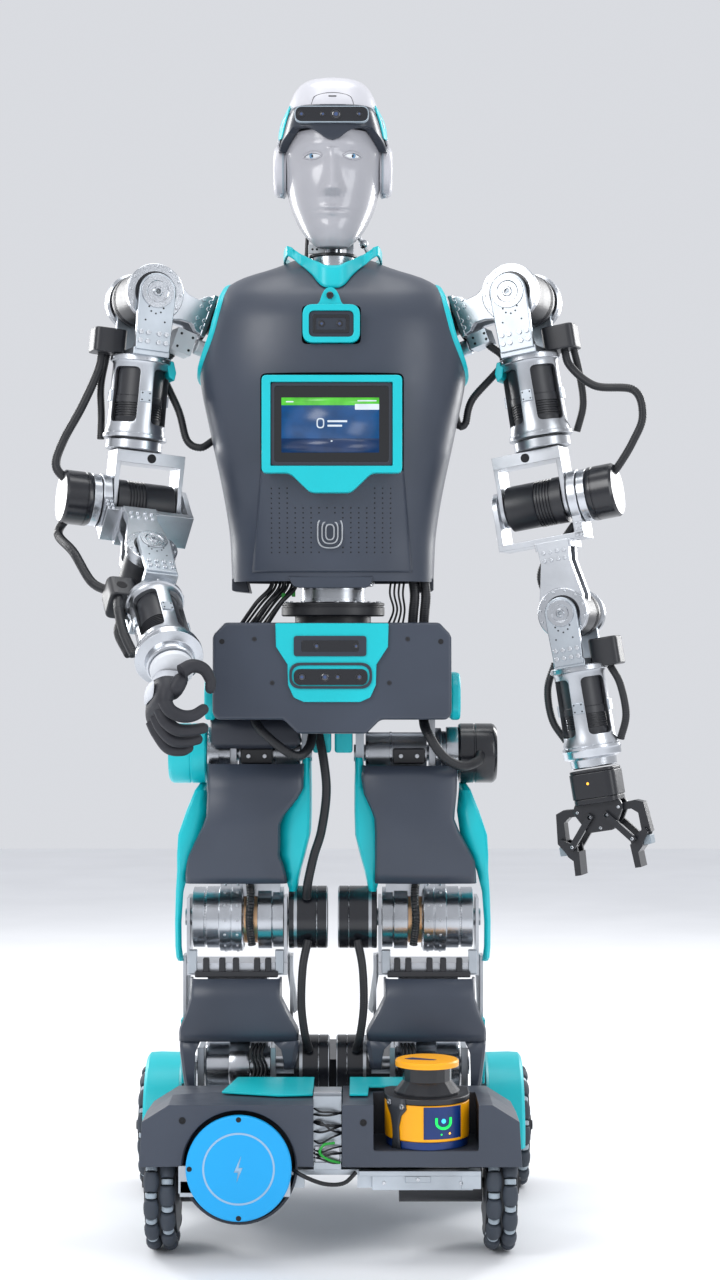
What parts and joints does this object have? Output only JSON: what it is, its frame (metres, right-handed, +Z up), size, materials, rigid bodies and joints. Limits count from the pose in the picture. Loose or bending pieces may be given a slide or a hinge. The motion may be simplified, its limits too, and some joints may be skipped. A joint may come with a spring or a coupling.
{
  "type": "humanoid robot",
  "caption": "Life-size service robot on a wheeled base, with bending legs, a screened torso, jointed arms, a hand, a gripper and a head.",
  "frame": {"origin": "on the floor, under the middle of the wheeled base", "axes": "+Z up, the robot faces -Y, +X towards the robot's left"},
  "size_m": [0.9693, 0.7678, 1.85],
  "materials": {
    "shell_slate": "fine matte moulded",
    "trim_teal": "satin painted",
    "machined_alloy": "machined, satin",
    "motor_black": "satin black",
    "face_grey": "glossy",
    "helmet_white": "satin gloss",
    "visor_dark": "satin dark",
    "screen_glass": "dark display glass",
    "pad_blue": "satin",
    "scanner_yellow": "satin",
    "roller_rubber": "matte",
    "glove_black": "soft matte",
    "gripper_black": "anodised black"
  },
  "bodies": {
    "base": {"chassis_frame": "machined_alloy", "drive_motors": "motor_black", "battery_pack": "motor_black", "charger_cover": "shell_slate", "scanner_cover": "shell_slate", "rear_fenders": "trim_teal", "charging_pad": "pad_blue", "safety_scanner": "scanner_yellow"},
    "front_right_wheel_body": {"front_right_wheel": "roller_rubber"},
    "front_left_wheel_body": {"front_left_wheel": "roller_rubber"},
    "rear_right_wheel_body": {"rear_right_wheel": "roller_rubber"},
    "rear_left_wheel_body": {"rear_left_wheel": "roller_rubber"},
    "shins": {"shin_links": "machined_alloy", "shin_covers": "shell_slate"},
    "thighs": {"thigh_links": "machined_alloy", "thigh_covers": "shell_slate", "thigh_side_covers": "trim_teal"},
    "pelvis": {"pelvis_frame": "machined_alloy", "hip_actuators": "motor_black", "pelvis_shell": "shell_slate", "pelvis_plate": "trim_teal", "waist_drive": "motor_black"},
    "torso": {"spine_frame": "machined_alloy", "torso_front_shell": "shell_slate", "torso_rear_shell": "shell_slate", "collar": "trim_teal", "arm_rings": "trim_teal", "screen_bezel": "trim_teal", "touch_screen": "screen_glass", "chest_camera": "trim_teal"},
    "neck": {"neck_column": "machined_alloy", "neck_yoke": "machined_alloy"},
    "head": {"head_frame": "machined_alloy", "face_mask": "face_grey", "helmet": "helmet_white", "visor": "visor_dark", "ear_cups": "helmet_white"},
    "right_shoulder_bracket_body": {"right_shoulder_bracket": "machined_alloy"},
    "right_upper_arm_body": {"right_upper_arm": "machined_alloy"},
    "right_elbow_body": {"right_elbow": "machined_alloy"},
    "right_forearm_swivel_body": {"right_forearm_swivel": "machined_alloy"},
    "right_forearm_body": {"right_forearm": "machined_alloy"},
    "left_shoulder_bracket_body": {"left_shoulder_bracket": "machined_alloy"},
    "left_upper_arm_body": {"left_upper_arm": "machined_alloy"},
    "left_elbow_body": {"left_elbow": "machined_alloy"},
    "left_forearm_swivel_body": {"left_forearm_swivel": "machined_alloy"},
    "left_forearm_body": {"left_forearm": "machined_alloy"},
    "right_hand": {"right_palm": "glove_black"},
    "left_gripper": {"left_gripper_body": "gripper_black"},
    "right_index": {"right_index_finger": "glove_black"},
    "right_middle": {"right_middle_finger": "glove_black"},
    "right_ring": {"right_ring_finger": "glove_black"},
    "right_little": {"right_little_finger": "glove_black"},
    "right_thumb_part": {"right_thumb": "glove_black"},
    "gripper_inboard_finger_body": {"gripper_inboard_finger": "gripper_black"},
    "gripper_inboard_knuckle_body": {"gripper_inboard_knuckle": "gripper_black"},
    "gripper_inboard_fingertip_body": {"gripper_inboard_fingertip": "gripper_black"},
    "gripper_outboard_finger_body": {"gripper_outboard_finger": "gripper_black"},
    "gripper_outboard_knuckle_body": {"gripper_outboard_knuckle": "gripper_black"},
    "gripper_outboard_fingertip_body": {"gripper_outboard_fingertip": "gripper_black"}
  },
  "joints": [
    {"name": "front_right_wheel_turn", "type": "hinge", "parent": "base", "child": "front_right_wheel_body", "pos_m": [-0.258, -0.225, 0.1015], "axis": [1, 0, 0], "continuous": true},
    {"name": "rear_right_wheel_turn", "type": "hinge", "parent": "base", "child": "rear_right_wheel_body", "pos_m": [-0.308, 0.225, 0.1015], "axis": [1, 0, 0], "continuous": true},
    {"name": "front_left_wheel_turn", "type": "hinge", "parent": "base", "child": "front_left_wheel_body", "pos_m": [0.258, -0.225, 0.1015], "axis": [1, 0, 0], "continuous": true},
    {"name": "rear_left_wheel_turn", "type": "hinge", "parent": "base", "child": "rear_left_wheel_body", "pos_m": [0.308, 0.225, 0.1015], "axis": [1, 0, 0], "continuous": true},
    {"name": "ankle_bend", "type": "hinge", "parent": "base", "child": "shins", "pos_m": [0, 0, 0.243], "axis": [1, 0, 0], "range_deg": [-12, 28]},
    {"name": "knee_bend", "type": "hinge", "parent": "shins", "child": "thighs", "pos_m": [0, 0, 0.485], "axis": [-1, 0, 0], "range_deg": [0, 60]},
    {"name": "hip_bend", "type": "hinge", "parent": "thighs", "child": "pelvis", "pos_m": [0, 0, 0.752], "axis": [1, 0, 0], "range_deg": [-12, 32]},
    {"name": "waist_turn", "type": "hinge", "parent": "pelvis", "child": "torso", "pos_m": [0, 0, 0.9975], "axis": [0, 0, 1], "range_deg": [-90, 90]},
    {"name": "neck_turn", "type": "hinge", "parent": "torso", "child": "neck", "pos_m": [0, 0, 1.52], "axis": [0, 0, 1], "range_deg": [-70, 70]},
    {"name": "head_nod", "type": "hinge", "parent": "neck", "child": "head", "pos_m": [0, 0, 1.598], "axis": [1, 0, 0], "range_deg": [-15, 9]},
    {"name": "right_shoulder_pitch", "type": "hinge", "parent": "torso", "child": "right_shoulder_bracket_body", "pos_m": [-0.302, 0, 1.497], "axis": [-0.883, -0.3214, 0.342], "range_deg": [-10, 90]},
    {"name": "right_shoulder_roll", "type": "hinge", "parent": "right_shoulder_bracket_body", "child": "right_upper_arm_body", "pos_m": [-0.302, 0, 1.497], "axis": [-0.342, 0.9397, 0], "range_deg": [0, 75]},
    {"name": "right_upper_arm_twist", "type": "hinge", "parent": "right_upper_arm_body", "child": "right_elbow_body", "pos_m": [-0.302, 0, 1.497], "axis": [-0.0901, -0.0328, -0.9954], "range_deg": [-22, 60]},
    {"name": "right_elbow_bend", "type": "hinge", "parent": "right_elbow_body", "child": "right_forearm_swivel_body", "pos_m": [-0.33271, -0.01118, 1.15757], "axis": [-0.9354, -0.3404, 0.0958], "range_deg": [-50, 50]},
    {"name": "right_forearm_swing", "type": "hinge", "parent": "right_forearm_swivel_body", "child": "right_forearm_body", "pos_m": [-0.29243, -0.1529, 1.04735], "axis": [-0.2778, 0.5393, -0.795], "range_deg": [-45, 45]},
    {"name": "left_shoulder_pitch", "type": "hinge", "parent": "torso", "child": "left_shoulder_bracket_body", "pos_m": [0.302, 0, 1.497], "axis": [-0.883, 0.3214, -0.342], "range_deg": [-30, 90]},
    {"name": "left_shoulder_roll", "type": "hinge", "parent": "left_shoulder_bracket_body", "child": "left_upper_arm_body", "pos_m": [0.302, 0, 1.497], "axis": [-0.342, -0.9397, 0], "range_deg": [0, 75]},
    {"name": "left_upper_arm_twist", "type": "hinge", "parent": "left_upper_arm_body", "child": "left_elbow_body", "pos_m": [0.302, 0, 1.497], "axis": [-0.1551, 0.0564, 0.9863], "range_deg": [-80, 80]},
    {"name": "left_elbow_bend", "type": "hinge", "parent": "left_elbow_body", "child": "left_forearm_swivel_body", "pos_m": [0.35489, -0.01925, 1.16068], "axis": [-0.9268, 0.3373, -0.165], "range_deg": [0, 100]},
    {"name": "left_forearm_swing", "type": "hinge", "parent": "left_forearm_swivel_body", "child": "left_forearm_body", "pos_m": [0.38342, -0.02964, 0.9792], "axis": [-0.342, -0.9397, 0], "range_deg": [-12, 45]},
    {"name": "right_wrist_twist", "type": "hinge", "parent": "right_forearm_body", "child": "right_hand", "pos_m": [-0.40737, 0.25146, 1.36184], "axis": [-0.219, 0.7702, 0.599], "range_deg": [-120, 120]},
    {"name": "left_wrist_twist", "type": "hinge", "parent": "left_forearm_body", "child": "left_gripper", "pos_m": [0.302, 0, 1.497], "axis": [-0.1551, 0.0564, 0.9863], "range_deg": [-170, 170]},
    {"name": "right_index_bend", "type": "hinge", "parent": "right_hand", "child": "right_index", "pos_m": [-0.24159, -0.40881, 0.84317], "axis": [-0.3516, 0.8655, -0.3567], "range_deg": [-2, 40]},
    {"name": "right_middle_bend", "type": "hinge", "parent": "right_hand", "child": "right_middle", "pos_m": [-0.24891, -0.3924, 0.82992], "axis": [-0.3516, 0.8655, -0.3567], "range_deg": [-2, 40]},
    {"name": "right_ring_bend", "type": "hinge", "parent": "right_hand", "child": "right_ring", "pos_m": [-0.25636, -0.37489, 0.81946], "axis": [-0.3516, 0.8655, -0.3567], "range_deg": [-2, 40]},
    {"name": "right_little_bend", "type": "hinge", "parent": "right_hand", "child": "right_little", "pos_m": [-0.2637, -0.35709, 0.81104], "axis": [-0.3516, 0.8655, -0.3567], "range_deg": [-2, 40]},
    {"name": "right_thumb_bend", "type": "hinge", "parent": "right_hand", "child": "right_thumb_part", "pos_m": [-0.21625, -0.39939, 0.8943], "axis": [0.3516, -0.8655, 0.3567], "range_deg": [-1, 20]},
    {"name": "gripper_inboard_finger_close", "type": "hinge", "parent": "left_gripper", "child": "gripper_inboard_finger_body", "pos_m": [0.40147, -0.0362, 0.65847], "axis": [-0.342, -0.9397, 0], "range_deg": [0, 44]},
    {"name": "gripper_inboard_knuckle_close", "type": "hinge", "parent": "left_gripper", "child": "gripper_inboard_knuckle_body", "pos_m": [0.42155, -0.04351, 0.65191], "axis": [-0.342, -0.9397, 0], "range_deg": [0, 44]},
    {"name": "gripper_inboard_fingertip_level", "type": "hinge", "parent": "gripper_inboard_knuckle_body", "child": "gripper_inboard_fingertip_body", "pos_m": [0.39486, -0.0338, 0.60356], "axis": [0.342, 0.9397, 0], "range_deg": [0, 44]},
    {"name": "gripper_outboard_finger_close", "type": "hinge", "parent": "left_gripper", "child": "gripper_outboard_finger_body", "pos_m": [0.46449, -0.05914, 0.66969], "axis": [0.342, 0.9397, 0], "range_deg": [0, 44]},
    {"name": "gripper_outboard_knuckle_close", "type": "hinge", "parent": "left_gripper", "child": "gripper_outboard_knuckle_body", "pos_m": [0.4475, -0.05296, 0.65653], "axis": [0.342, 0.9397, 0], "range_deg": [0, 44]},
    {"name": "gripper_outboard_fingertip_level", "type": "hinge", "parent": "gripper_outboard_knuckle_body", "child": "gripper_outboard_fingertip_body", "pos_m": [0.48754, -0.06753, 0.62006], "axis": [-0.342, -0.9397, 0], "range_deg": [0, 44]}
  ],
  "couplings": [
    {"joint": "right_middle_bend", "follows": "right_index_bend", "ratio": 1},
    {"joint": "right_ring_bend", "follows": "right_index_bend", "ratio": 1},
    {"joint": "right_little_bend", "follows": "right_index_bend", "ratio": 1},
    {"joint": "right_thumb_bend", "follows": "right_index_bend", "ratio": 0.5},
    {"joint": "gripper_inboard_knuckle_close", "follows": "gripper_inboard_finger_close", "ratio": 1},
    {"joint": "gripper_inboard_fingertip_level", "follows": "gripper_inboard_finger_close", "ratio": 1},
    {"joint": "gripper_outboard_finger_close", "follows": "gripper_inboard_finger_close", "ratio": 1},
    {"joint": "gripper_outboard_knuckle_close", "follows": "gripper_inboard_finger_close", "ratio": 1},
    {"joint": "gripper_outboard_fingertip_level", "follows": "gripper_inboard_finger_close", "ratio": 1}
  ]
}
